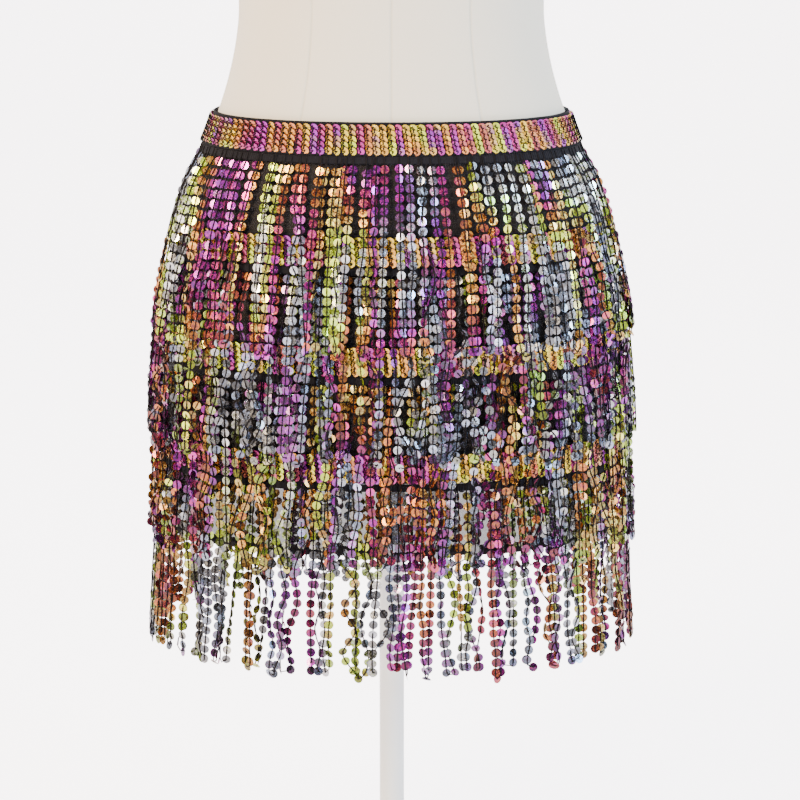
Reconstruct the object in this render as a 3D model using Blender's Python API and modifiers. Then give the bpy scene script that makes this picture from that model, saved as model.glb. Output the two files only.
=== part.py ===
"""A tiered fringe hip skirt, pulled on over a limbless hip form that stands on a round base.

The skirt is cut as a black stretch lining of a front and a back panel, with four rings of one and
the same trim sewn round it. Each ring is a header tape, a narrow root strip below the tape, and the
strands that hang from that strip. Metres, +Z up, the floor at zero, the front towards -Y.
"""

import math
from collections import namedtuple

import bmesh
import bpy

# Skirt
FRINGE_END = 0.200  # height of the lowest strand ends above the floor
SKIRT_LENGTH = 0.379
SKIRT_TOP = FRINGE_END + SKIRT_LENGTH
TIER_PITCH = 0.074  # from one header's top edge to the next one's
TAPE_HEIGHT = 0.0215
ROOT_HEIGHT = 0.0052
SEAM_GAP = 0.0003
TAPE_WALL = 0.0016
STRAND_LENGTH = SKIRT_LENGTH - 3 * TIER_PITCH - TAPE_HEIGHT - SEAM_GAP - ROOT_HEIGHT
STRAND_WIDTH = 0.006
STRANDS = 56  # strands on each tier
STRAND_SWAY = 0.0022  # sideways, at the strand's end
STRAND_UNEVENNESS = 0.0028
STRAND_LIFT = 0.0016  # how far the strands step out, just below the root, to clear the next tape
LIFT_REACH = 0.012
STRAND_FLARE = 0.040  # how much farther out a strand stands for each metre down

# Lining
LINING_LENGTH = 0.295
LINING_WALL = 0.0012
LINING_CLEARANCE = 0.0005  # from the hip form
TRIM_INSIDE = LINING_CLEARANCE + LINING_WALL + SEAM_GAP
HEM_WAVES = 11
HEM_WAVE_DEPTH = 0.0016
GIRTH_STEPS = 56  # facets round the lining, the tapes and the hip form

# Hip form and stand
FORM_TOP = 0.160  # above the skirt's top edge
FORM_SHOULDER = 0.118
FORM_BOTTOM = -0.240
FORM_EDGE_RADIUS = 0.008
DOME_SQUARENESS = 2.2  # 2 is a quarter ellipse, more is flatter on top
DOME_RISES = (0.999, 0.97, 0.90, 0.78, 0.58, 0.32)
WAIST_LEVELS = (FORM_SHOULDER, 0.094, 0.070, 0.052, 0.034, 0.017, 0.0)
ROUNDNESS = 2.15  # 2 is an ellipse, more is squarer
BASE_RADIUS = 0.145
BASE_HEIGHT = 0.008
BASE_EDGE = 0.002
POLE_RADIUS = 0.009
COLLAR_RADIUS = 0.017
COLLAR_HEIGHT = 0.012
FLANGE_RADIUS = 0.032
FLANGE_HEIGHT = 0.005
TURNED_STEPS = 40

# The general figure, by height over the skirt's top edge
Section = namedtuple("Section", "height half_width front back")
BODY = [
    Section(0.160, 0.1120, 0.0880, 0.0840),
    Section(0.118, 0.1085, 0.0825, 0.0805),
    Section(0.070, 0.1062, 0.0795, 0.0795),
    Section(0.038, 0.1105, 0.0825, 0.0830),
    Section(0.010, 0.1180, 0.0880, 0.0890),
    Section(-0.020, 0.1290, 0.0950, 0.0985),
    Section(-0.045, 0.1390, 0.0995, 0.1075),
    Section(-0.075, 0.1475, 0.1035, 0.1165),
    Section(-0.110, 0.1540, 0.1063, 0.1245),
    Section(-0.150, 0.1584, 0.1078, 0.1288),
    Section(-0.195, 0.1602, 0.1082, 0.1290),
    Section(-0.240, 0.1604, 0.1078, 0.1265),
]

# Levels that the lining shares with the form under it, so that the gap between them is even
HIP_LEVELS = (-0.020, -0.045, -0.075, -0.110, -0.150, -0.195)
HEM_LEVELS = (FORM_BOTTOM, -0.268, -LINING_LENGTH)

# How far down each tier's strands have a bend, from the root
STRAND_BENDS = {
    1: (0.010, 0.045, 0.085),
    2: (0.010, 0.060),
    3: (0.010, 0.060),
    4: (0.010, 0.060),
}

# Colour, roughness and metallic value of each material
MATERIALS = {
    "form_cover": ((0.80, 0.76, 0.69), 0.75, 0.0),
    "stand_enamel": ((0.90, 0.90, 0.90), 0.30, 0.0),
    "lining_knit": ((0.020, 0.016, 0.022), 0.80, 0.0),
    "sequin_braid": ((0.62, 0.42, 0.30), 0.35, 0.5),
    "sequin_fringe": ((0.58, 0.36, 0.40), 0.30, 0.5),
}


def clear_scene():
    for found in list(bpy.data.objects):
        bpy.data.objects.remove(found, do_unlink=True)


def material(name):
    made = bpy.data.materials.get(name)
    if made is None:
        colour, roughness, metallic = MATERIALS[name]
        made = bpy.data.materials.new(name)
        made.use_nodes = True
        shader = made.node_tree.nodes["Principled BSDF"]
        shader.inputs["Base Color"].default_value = (*colour, 1.0)
        shader.inputs["Roughness"].default_value = roughness
        shader.inputs["Metallic"].default_value = metallic
    return made


def add_object(name, mesh, material_name):
    made = bpy.data.objects.new(name, mesh)
    mesh.materials.append(material(material_name))
    bpy.data.collections["fringe_hip_skirt"].objects.link(made)
    return made


def body_value(column, height):
    """A column of the body table at any height, on a smooth curve through its rows."""
    heights = [row.height for row in BODY]
    values = [getattr(row, column) for row in BODY]
    if height >= heights[0]:
        return values[0]
    if height <= heights[-1]:
        return values[-1]
    at = next(i for i in range(len(BODY) - 1) if heights[i + 1] <= height)

    def slope(i):
        low, high = max(i - 1, 0), min(i + 1, len(BODY) - 1)
        return (values[high] - values[low]) / (heights[high] - heights[low])

    span = heights[at + 1] - heights[at]
    share = (height - heights[at]) / span
    return (
        values[at] * (1 + 2 * share) * (1 - share) ** 2
        + slope(at) * span * share * (1 - share) ** 2
        + values[at + 1] * share**2 * (3 - 2 * share)
        + slope(at + 1) * span * share**2 * (share - 1)
    )


def body_size(height):
    """Half width, front depth and back depth of the figure at a height over the skirt's top."""
    return [body_value(column, height) for column in ("half_width", "front", "back")]


def cloth_size(height):
    """The figure's size as cloth follows it: below the fullest level the cloth hangs straight."""
    levels = [row.height for row in BODY if height < row.height <= 0.0] + [height]
    sizes = [body_size(level) for level in levels]
    return [max(size[i] for size in sizes) for i in range(3)]


def ring_point(turn, size, outward, height):
    """A point of a rounded section. Turn 0 is the left seam at +X, 0.25 the back, 0.75 the front."""
    angle = 2 * math.pi * turn
    across, along = math.cos(angle), math.sin(angle)
    half_width, front, back = size
    depth = back if along > 0 else front
    power = 2 / ROUNDNESS
    x = math.copysign(abs(across) ** power, across) * (half_width + outward)
    y = math.copysign(abs(along) ** power, along) * (depth + outward)
    return (x, y, SKIRT_TOP + height)


def half_girth_turns():
    """For the back and the front half: turns, and the share of that half's girth up to each."""
    samples = 360
    size = cloth_size(FORM_BOTTOM)
    halves = []
    for start in (0.0, 0.5):
        turns = [start + 0.5 * i / samples for i in range(samples + 1)]
        points = [ring_point(turn, size, 0.0, 0.0) for turn in turns]
        lengths = [0.0]
        for before, after in zip(points, points[1:]):
            lengths.append(lengths[-1] + math.dist(before, after))
        halves.append((turns, lengths))
    return halves


HALVES = half_girth_turns()


def even_turn(share):
    """The turn at a share of the way round, even in length along the back and along the front."""
    share %= 1.0
    turns, lengths = HALVES[0] if share < 0.5 else HALVES[1]
    wanted = (share % 0.5) / 0.5 * lengths[-1]
    at = next(i for i in range(len(lengths) - 1) if lengths[i + 1] >= wanted)
    part = (wanted - lengths[at]) / (lengths[at + 1] - lengths[at])
    return turns[at] + part * (turns[at + 1] - turns[at])


def girth(size):
    points = [ring_point(even_turn(i / 90), size, 0.0, 0.0) for i in range(91)]
    return sum(math.dist(a, b) for a, b in zip(points, points[1:]))


def loft(name, rings, closed=True, caps=False):
    """A mesh through rings of points, listed from the top down, each ring counter-clockwise."""
    shell = bmesh.new()
    rows = [[shell.verts.new(point) for point in ring] for ring in rings]
    steps = len(rings[0]) if closed else len(rings[0]) - 1
    for upper, lower in zip(rows, rows[1:]):
        for i in range(steps):
            after = (i + 1) % len(upper)
            shell.faces.new((upper[i], lower[i], lower[after], upper[after]))
    if caps:
        shell.faces.new(rows[0])
        shell.faces.new(list(reversed(rows[-1])))
    mesh = bpy.data.meshes.new(name)
    shell.to_mesh(mesh)
    shell.free()
    return mesh


def thicken(made, wall):
    """Gives an open surface its wall, outwards from the points it is made of."""
    solidify = made.modifiers.new("wall", "SOLIDIFY")
    solidify.thickness = wall
    solidify.offset = 1.0
    solidify.use_even_offset = True


def hem_wave(share, height):
    """How far the lining's loose hem swings out or in, below the hip form."""
    loose = (FORM_BOTTOM - height) / (LINING_LENGTH + FORM_BOTTOM)
    loose = min(max(loose, 0.0), 1.0)
    return HEM_WAVE_DEPTH * loose * math.sin(2 * math.pi * HEM_WAVES * share)


def add_lining_panel(name, first_share):
    """Half of the lining, from side seam to side seam."""
    steps = GIRTH_STEPS // 2
    seam = SEAM_GAP / girth(cloth_size(FORM_BOTTOM))
    rings = []
    for height in (0.0, *HIP_LEVELS, *HEM_LEVELS):
        size = cloth_size(height)
        shares = [first_share + 0.5 * i / steps for i in range(steps + 1)]
        shares[0] += seam
        shares[-1] -= seam
        rings.append(
            [
                ring_point(
                    even_turn(share),
                    size,
                    LINING_CLEARANCE + hem_wave(share, height),
                    height,
                )
                for share in shares
            ]
        )
    made = add_object(name, loft(name, rings, closed=False), "lining_knit")
    thicken(made, LINING_WALL)
    return made


def tier_top(tier):
    return -(tier - 1) * TIER_PITCH


def add_header(tier):
    """The header tape of one tier, a ring sewn round the lining."""
    top = tier_top(tier)
    rings = []
    for height in (top, top - TAPE_HEIGHT):
        size = cloth_size(height)
        shares = [i / GIRTH_STEPS for i in range(GIRTH_STEPS)]
        rings.append(
            [ring_point(even_turn(s), size, TRIM_INSIDE, height) for s in shares]
        )
    name = f"header_{tier}"
    made = add_object(name, loft(name, rings), "sequin_braid")
    thicken(made, TAPE_WALL)
    return made


def strand_standoff(below_root):
    """How far a strand's inner face stands off the figure, so that it clears the tier below."""
    lift = STRAND_LIFT * (1 - math.exp(-below_root / LIFT_REACH))
    return TRIM_INSIDE + lift + STRAND_FLARE * below_root


def strand_share(tier, strand):
    """Where round the girth a strand hangs. Every second tier is set over by half a pitch."""
    return (strand + (0.25 if tier % 2 else 0.75)) / STRANDS


def strand_level(tier, strand, depth, height):
    """The four points of a strand at one level: inner and outer left, outer and inner right."""
    size = cloth_size(height)
    around = girth(size)
    sway = STRAND_SWAY * math.sin(2.4 * strand + 1.7 * tier) * (depth / STRAND_LENGTH)
    centre = strand_share(tier, strand) + sway / around
    half = 0.5 * STRAND_WIDTH / around
    inside = strand_standoff(depth)
    corners = (
        (-half, inside),
        (-half, inside + TAPE_WALL),
        (half, inside + TAPE_WALL),
        (half, inside),
    )
    return [
        ring_point(even_turn(centre + shift), size, out, height)
        for shift, out in corners
    ]


def add_fringe(tier):
    """One tier's root strip with its strands drawn down out of it, as one closed solid."""
    strip_top = tier_top(tier) - TAPE_HEIGHT - SEAM_GAP
    strip_bottom = strip_top - ROOT_HEIGHT
    comb = bmesh.new()

    def strip_ring(height, outward):
        size = cloth_size(height)
        half = 0.5 * STRAND_WIDTH / girth(size)
        shares = [
            strand_share(tier, strand) + side * half
            for strand in range(STRANDS)
            for side in (-1, 1)
        ]
        points = [ring_point(even_turn(s), size, outward, height) for s in shares]
        return [comb.verts.new(point) for point in points]

    outside = TRIM_INSIDE + TAPE_WALL
    inner_top = strip_ring(strip_top, TRIM_INSIDE)
    outer_top = strip_ring(strip_top, outside)
    inner_low = strip_ring(strip_bottom, TRIM_INSIDE)
    outer_low = strip_ring(strip_bottom, outside)
    roots = []
    for i in range(2 * STRANDS):
        after = (i + 1) % (2 * STRANDS)
        comb.faces.new((outer_top[i], outer_low[i], outer_low[after], outer_top[after]))
        comb.faces.new((inner_top[after], inner_low[after], inner_low[i], inner_top[i]))
        comb.faces.new((inner_top[i], outer_top[i], outer_top[after], inner_top[after]))
        root = comb.faces.new(
            (inner_low[i], inner_low[after], outer_low[after], outer_low[i])
        )
        if i % 2 == 0:
            roots.append(root)

    for strand, root in enumerate(roots):
        uneven = STRAND_UNEVENNESS * (0.5 + 0.5 * math.sin(1.9 * strand + tier))
        length = STRAND_LENGTH - uneven
        face = root
        for depth in (*STRAND_BENDS[tier], length):
            grown = bmesh.ops.extrude_discrete_faces(comb, faces=[face])
            face = grown["faces"][0]
            points = strand_level(tier, strand, depth, strip_bottom - depth)
            inner_left, outer_left, outer_right, inner_right = points
            corners = (inner_left, inner_right, outer_right, outer_left)
            for vert, point in zip(in_root_order(face, corners), corners):
                vert.co = point

    name = f"fringe_{tier}"
    mesh = bpy.data.meshes.new(name)
    comb.to_mesh(mesh)
    comb.free()
    return add_object(name, mesh, "sequin_fringe")


def in_root_order(face, corners):
    """The face's corner points in the order of the four given ones, by the nearest match."""
    verts = list(face.verts)
    centre = sum((vert.co for vert in verts), verts[0].co * 0) / 4
    middle = [sum(point[axis] for point in corners) / 4 for axis in range(3)]

    def misfit(turned):
        return sum(
            math.dist(
                (vert.co - centre)[:2],
                (point[0] - middle[0], point[1] - middle[1]),
            )
            for vert, point in zip(turned, corners)
        )

    turns = [verts[i:] + verts[:i] for i in range(4)]
    return min(turns, key=misfit)


def add_hip_form():
    """The limbless form: the general figure, closed by a domed top and a flat, rounded bottom."""
    sections = []
    dome = FORM_TOP - FORM_SHOULDER
    for rise in DOME_RISES:
        share = (1 - rise**DOME_SQUARENESS) ** (1 / DOME_SQUARENESS)
        sections.append((FORM_SHOULDER + dome * rise, share))
    for height in (*WAIST_LEVELS, *HIP_LEVELS):
        sections.append((height, 1.0))
    for turn in (0.0, 0.5, 1.0):
        angle = turn * math.pi / 2
        drop = FORM_EDGE_RADIUS * (1 - math.sin(angle))
        narrowing = FORM_EDGE_RADIUS * (1 - math.cos(angle))
        level = FORM_BOTTOM + drop
        sections.append((level, 1 - narrowing / body_size(level)[0]))
    rings = []
    for height, share in sections:
        size = [share * value for value in body_size(height)]
        turns = [even_turn(i / GIRTH_STEPS) for i in range(GIRTH_STEPS)]
        rings.append([ring_point(turn, size, 0.0, height) for turn in turns])
    return add_object("hip_form", loft("hip_form", rings, caps=True), "form_cover")


def add_turned(name, profile):
    """A turned piece: the profile's radius and height pairs, from the top down, round Z."""
    mesh = bpy.data.meshes.new(name)
    points = [(radius, 0.0, height) for radius, height in profile]
    mesh.from_pydata(points, [(i, i + 1) for i in range(len(points) - 1)], [])
    made = add_object(name, mesh, "stand_enamel")
    screw = made.modifiers.new("turn", "SCREW")
    screw.axis = "Z"
    screw.steps = TURNED_STEPS
    screw.render_steps = TURNED_STEPS
    screw.use_merge_vertices = True
    screw.merge_threshold = 0.00001
    return made


def add_stand():
    add_turned(
        "stand_base",
        [
            (0.0, BASE_HEIGHT),
            (BASE_RADIUS - BASE_EDGE, BASE_HEIGHT),
            (BASE_RADIUS, BASE_HEIGHT - BASE_EDGE),
            (BASE_RADIUS, 0.0),
            (0.0, 0.0),
        ],
    )
    low = BASE_HEIGHT + SEAM_GAP
    high = SKIRT_TOP + FORM_BOTTOM - SEAM_GAP
    add_turned(
        "stand_pole",
        [
            (0.0, high),
            (FLANGE_RADIUS, high),
            (FLANGE_RADIUS, high - FLANGE_HEIGHT),
            (POLE_RADIUS, high - FLANGE_HEIGHT),
            (POLE_RADIUS, low + COLLAR_HEIGHT),
            (COLLAR_RADIUS, low + COLLAR_HEIGHT - BASE_EDGE),
            (COLLAR_RADIUS, low),
            (0.0, low),
        ],
    )


def shade_round(made):
    made.data.shade_smooth()
    made.data.set_sharp_from_angle(angle=math.radians(40))


def main():
    clear_scene()
    parts = bpy.data.collections.new("fringe_hip_skirt")
    bpy.context.scene.collection.children.link(parts)
    add_stand()
    add_hip_form()
    add_lining_panel("lining_back", 0.0)
    add_lining_panel("lining_front", 0.5)
    for tier in STRAND_BENDS:
        add_header(tier)
        add_fringe(tier)
    for made in parts.objects:
        shade_round(made)


main()
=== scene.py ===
import math
from collections import namedtuple

import bpy
import numpy as np
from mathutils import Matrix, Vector


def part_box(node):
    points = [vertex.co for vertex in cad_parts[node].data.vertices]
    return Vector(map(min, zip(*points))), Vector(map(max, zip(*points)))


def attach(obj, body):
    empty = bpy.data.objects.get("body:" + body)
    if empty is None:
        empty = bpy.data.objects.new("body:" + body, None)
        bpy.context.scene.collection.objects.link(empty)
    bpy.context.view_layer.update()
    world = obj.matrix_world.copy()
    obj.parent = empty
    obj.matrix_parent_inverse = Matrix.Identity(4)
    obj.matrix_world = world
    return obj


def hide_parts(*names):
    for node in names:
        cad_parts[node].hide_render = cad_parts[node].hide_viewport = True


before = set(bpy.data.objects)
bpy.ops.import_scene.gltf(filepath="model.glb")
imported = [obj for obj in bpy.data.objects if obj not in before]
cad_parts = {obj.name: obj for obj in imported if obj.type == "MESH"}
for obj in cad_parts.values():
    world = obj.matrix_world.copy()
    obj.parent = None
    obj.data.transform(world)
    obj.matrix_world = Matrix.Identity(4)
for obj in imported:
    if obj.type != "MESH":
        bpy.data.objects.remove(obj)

bl_info = {
    "name": "Sequin fringe hip skirt",
    "version": (1, 0, 0),
    "blender": (4, 5, 0),
    "location": "View3D > Sidebar > Hip skirt",
    "description": "A tiered hip skirt of sequin fringe on a hip form, with its stage",
    "category": "Object",
}

# The whole round of the skirt is counted in shares: 0 at the wearer's left side seam (+X),
# 0.25 at the centre back, 0.5 at the right side seam and 0.75 at the centre front.
# Lengths are in metres.

BODY = "root"

# How far each tier's strands stray and turn about their thread, the share of that turn at the
# root, how far they lie over each other, how much painted light and shade their foil gets, how
# wide a pair hangs as a share of its room, and where the tier's colours start in the row of strand
# colours
TierLook = namedtuple("TierLook", "stray twist root_twist layers shade pair colour")
TIERS = {
    1: TierLook(0.75, 0.55, 0.60, 0.5, 1.40, 0.82, 0.71),
    2: TierLook(1.25, 1.50, 0.70, 1.5, 0.84, 0.93, 0.25),
    3: TierLook(1.35, 1.50, 0.70, 1.6, 0.92, 0.95, 0.29),
    4: TierLook(1.15, 0.85, 0.60, 1.4, 0.65, 0.88, 0.21),
}

# Layers, as distances out from the hip form, and walls of cloth
LINING_OFF = 0.0006
LINING_WALL = 0.0007
TAPE_OFF = 0.0019
TAPE_WALL = 0.0007
STRIP_OFF = 0.0023
STRAND_OFF = 0.0030
STRAND_LIFT = 0.0022  # how far the strands lift off below their root
STRAND_LIFT_REACH = 0.012  # and over what depth
STRAND_FLARE = 0.040  # their slope outwards

# Fineness of the meshes
FORM_FINE = 6  # rows of the cover to each row of the form's solid
FORM_COLUMNS = 224
LINING_ROWS = 75
TAPE_COLUMNS = 360
TAPE_ROWS = 14
STRIP_ROWS = 6
GIRTH_STEPS = 180
POLE_STEPS = 128
POLE_EDGE = 0.0006  # the eased edges of the pole and the base
SWEEP_STEPS = 25
MERGE = 0.00001  # points nearer than this are one
LEVEL = 0.0001  # points of one ring are within this height
TURN_MARGIN = 0.001  # keeps a ring's first point first
FACETED_FOOT = 0.007  # lowest part of the form, which the cloth doesn't follow
FORM_ABOVE = 0.02  # part of the form above the skirt that the cloth's surface still needs

# The lining
HEM_DEPTH = 0.007
HEM_OUT = 0.0003  # how far the turned-up hem stands out
HEM_WAVES = 11
HEM_WAVE_DEPTH = 0.0016
PANEL = (0.0006, 0.4994)  # a panel's side edges, in shares of the girth
CREASE_RUN = (0.012, 0.05)  # from crease to crease: a share of the girth, and a height
LINING_SEED = 3
OPENNESS = 0.30  # the share of light that each face of the lining lets through

# Header tapes and their ribs of stacked sequins
TAPE_EDGE = 0.0012  # plain black edge above the stacked sequins
TAPE_EDGE_OUT = 0.0007  # how far a tape's edges stand out
TAPE_EDGE_REACH = 0.0026  # and over what height
RIB_OFF = 0.0040  # from the form to the stacked sequins' centres
RIB_FOLD = math.radians(15)  # of each half of a stacked sequin
RIB_STRAY = 0.0002  # sideways unevenness of the stacked sequins
RIB_TURN = 0.05  # unevenness of their tilt and turn
RIB_SHADE = 0.78
RIB_SHINE = 0.45  # the least painted highlight, and the most that is added to it
RIB_COLOURS_OVER = 1.9  # how far the colours of neighbouring ribs may differ
RIB_SLOPE = 0.13  # how far the colour changes down a rib
RIB_COLOUR_NOISE = 0.03
STITCH_OUT = 0.0012  # from the stacked sequins' centres to their stitches
STITCH_ACROSS = (0.0, -0.0020, 0.0009, -0.0003)  # a stitch's corners, sideways from the holes
STITCH_LEAD = 0.4  # how much of a stitch lies above its hole
STITCH_SIDES = 3

# Strands
ROOT_STRIP = 0.0052
PAIR_JITTER = 0.7  # how uneven the pairs are, to the unevenness of the strands in them
SHORTER = 0.007  # the most that a pair of strands is shorter than the longest
LOOP_WIDTHS = (0.0018, 0.0056)  # of the loop at a pair's end
CLOSE_FROM, CLOSE_OVER = 0.45, 0.55  # shares of the length where a pair draws together
BUNCH_RUN = 1.6  # pairs from one bunch to the next
BUNCH_SOON = 1.3  # how early a bunch is reached
LEAN = 0.016  # slope of a leaning pair
WAVE_LENGTHS = (0.028, 0.075)
WAVE_FROM = 0.06  # depth at which the waves are whole
LAYER_FROM = 0.02  # depth at which the strands lie fully over each other
KICK = (0.6, 0.0024)  # shape and scale of how far the ends stand out
TURN_SPREAD = 0.8  # how widely the turns of the sequins vary
TURN_LENGTHS = (0.05, 0.16)
TURN_SOON = 1.2  # how early down a strand the turns are whole
SIDE_TURN = 0.12  # on the hips' sides sequins turn to the front and the back: 0 fully, 1 not
AHEAD = 0.0004  # step along a strand that finds its direction
ROW_SLIP = 0.0009  # how far the rows of neighbouring pairs are out of line
PITCH_NOISE = 0.02
YAW_NOISE = 0.14
TILT_NOISE = 0.09
TILT_GROWTH = 1.2  # how much more the sequins tilt at the end
LOOP_SEQUINS = 4  # the most that sit on the bend of a loop
FREE_GROWTH = 0.08  # how much larger the sequins are below the lining's hem
FREE_REACH = 0.03  # height over which they grow
FREE_MARGIN = 0.01  # above the hem
SIZE_NOISE = 0.015
COLOUR_RANGE = 1.3  # how far the colours of neighbouring strands may differ, 1 for all of them
COLOUR_RUN = (3.6, 0.080)  # from colour to colour: strands, and a height
COLOUR_NOISE = 0.025
SHINE, SHINE_BIAS = 1.3, 2.3  # the most painted highlight on a sequin, and how rare it is
LAYER_PAINTED_SHADE = 0.3  # painted shade: how much darker the foil is painted on the strands that lie deepest, under the others
DEPTH_PAINTED_SHADE = 0.25  # painted shade: how much darker the foil is painted at a strand's end than at its root
THREAD_OVER = 0.00025  # from a sequin's middle to the thread that runs over it
THREAD_LEAD = 0.9  # share of the root strip that a thread runs up behind
THREAD_SIDES = 4

# Seams of the hip form's cover, in shares of the girth: sides, centres and princess lines
COVER_SEAMS = (0.0, 0.13, 0.25, 0.37, 0.5, 0.655, 0.75, 0.845)
SEAM_WIDTH = 0.0022
CAP_MIDDLE = 0.06  # the share, between seams, that the cover's two middle points are given
WEAVE_HEIGHT, WEAVE_SHADE = 0.10, 0.05  # the weave's part in the relief and in the colour
SEAM_SHADE = 0.12  # how much darker the cover is in a seam

# Colours as they show on a screen, and the order in which the foil's colour runs through them
FOIL = {
    "lilac silver": (0.74, 0.81, 0.95),
    "mauve": (0.72, 0.44, 0.70),
    "purple": (0.62, 0.20, 0.74),
    "magenta": (0.80, 0.19, 0.60),
    "rose": (0.76, 0.34, 0.38),
    "copper": (0.78, 0.42, 0.20),
    "orange gold": (0.97, 0.66, 0.28),
    "cream gold": (1.00, 0.88, 0.52),
    "yellow gold": (0.98, 0.80, 0.26),
    "lime": (0.86, 0.96, 0.27),
    "leaf": (0.70, 0.84, 0.29),
    "pearl": (0.92, 0.90, 0.88),
    "silver": (0.85, 0.86, 0.90),
    "smoke": (0.60, 0.61, 0.66),
}
STRAND_COLOURS = (
    "lilac silver", "mauve", "purple", "magenta", "rose", "copper",
    "orange gold", "cream gold", "lime", "leaf", "pearl", "silver", "smoke",
)
RIB_COLOURS = ("purple", "magenta", "rose", "orange gold", "yellow gold", "lime", "yellow gold")
THREAD_BLACK = (0.085, 0.075, 0.085)
TAPE_BLACK = (0.085, 0.08, 0.10)
LINING_BLACK = (0.13, 0.12, 0.135)
LINEN = (0.88, 0.845, 0.78)
ENAMEL = (0.93, 0.93, 0.93)
PAPER = (0.985, 0.965, 0.975)
PAPER_GLOW = (0.86, 0.84, 0.85)
ROOM_FRONT = (0.40, 0.40, 0.42)
ROOM_BACK = (0.98, 0.97, 0.98)
ROOM_DEPTH = (-0.7, 0.5)  # where the room's light changes from front to back

# The light that the floor and the room behind it send straight to the camera
BACKGROUND = (4.0, 3.85, 3.92, 1.0)

# The foil's finish
FOIL_CELL = 0.0011  # size of its fine cells
FOIL_BLEND = 0.35  # how soon its colour turns
FOIL_TURN = 0.10  # how far its colour turns from face on to edge on
FOIL_LIGHT = 0.36  # how bright it is with no painted highlight
SHINE_LIGHT = 0.95  # what a full painted highlight adds to its colour
FOIL_ROUGH, CELL_ROUGH = 0.16, 0.18
HOLE = (0.15, 0.24)  # of a sequin's radius, from black to clear foil
STRAND_GLITTER, STRAND_PAINTED_SPARKLE = 0.10, 0.48  # what a cell adds to the colour's hue, and as a painted glint to its brightness
RIB_GLITTER, RIB_PAINTED_SPARKLE = 0.06, 0.26

# Lights: place, size, power, colour and the point that they aim at
LIGHTS = {
    "key": ((-1.6, -1.8, 1.9), 0.8, 145.0, (1.0, 0.77, 0.48), (0.0, 0.0, 0.4)),
    "fill": ((1.9, -1.3, 1.3), 0.8, 74.0, (0.58, 0.80, 1.0), (0.0, 0.0, 0.4)),
    "overhead": ((0.0, 0.0, 2.6), 2.0, 95.0, (1.0, 0.98, 0.97), (0.0, 0.0, 0.4)),
    "backdrop": ((0.0, 1.9, 2.6), 2.0, 90.0, (1.0, 0.97, 0.98), (0.0, 3.2, 0.4)),
}


# Small helpers


def linear(colour):
    """A colour given as it shows on a screen, for a shader socket."""
    values = [c / 12.92 if c <= 0.04045 else ((c + 0.055) / 1.055) ** 2.4 for c in colour]
    return (*values, 1.0)


def ease(x):
    """0 to 1 with soft ends."""
    x = np.clip(x, 0.0, 1.0)
    return x * x * (3 - 2 * x)


def unit(vectors):
    return vectors / np.linalg.norm(vectors, axis=-1, keepdims=True)


def drift(rng, across, down, across_step, down_step):
    """Smooth random values from 0 to 1 over a plane, one fresh value at each crossing."""
    x, y = across / across_step, down / down_step
    x, y = x - x.min(), y - y.min()
    table = rng.random((int(x.max()) + 2, int(y.max()) + 2))
    i, j = x.astype(int), y.astype(int)
    u, v = ease(x - i), ease(y - j)
    near = table[i, j] * (1 - u) + table[i + 1, j] * u
    far = table[i, j + 1] * (1 - u) + table[i + 1, j + 1] * u
    return near * (1 - v) + far * v


# The figure under the cloth


def form_rings():
    """The hip form's rings of points from the top down: heights, and x + iy round each ring."""
    points = np.array([v.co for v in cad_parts["hip_form"].data.vertices])
    heights, rings = [], []
    for height in sorted(set(np.round(points[:, 2], 4)), reverse=True):
        ring = points[np.abs(points[:, 2] - height) < LEVEL]
        flat = np.unique(np.round(ring[:, 0] + 1j * ring[:, 1], 6))
        turn = np.mod(np.angle(flat) + TURN_MARGIN, 2 * math.pi)
        heights.append(ring[:, 2].mean())
        rings.append(flat[np.argsort(turn)])
    return np.array(heights), np.array(rings)


def between_rows(position, rows):
    """Rows read at fractional positions on a smooth curve through them."""
    i = np.clip(position.astype(int), 0, len(rows) - 2)
    t = (position - i).reshape(-1, *[1] * (rows.ndim - 1))
    before, after = rows[np.maximum(i - 1, 0)], rows[np.minimum(i + 2, len(rows) - 1)]
    a, b = rows[i], rows[i + 1]
    rise_a, rise_b = (b - before) / 2, (after - a) / 2
    return (
        a * (1 + 2 * t) * (1 - t) ** 2
        + rise_a * t * (1 - t) ** 2
        + b * t**2 * (3 - 2 * t)
        + rise_b * t**2 * (t - 1)
    )


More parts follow.
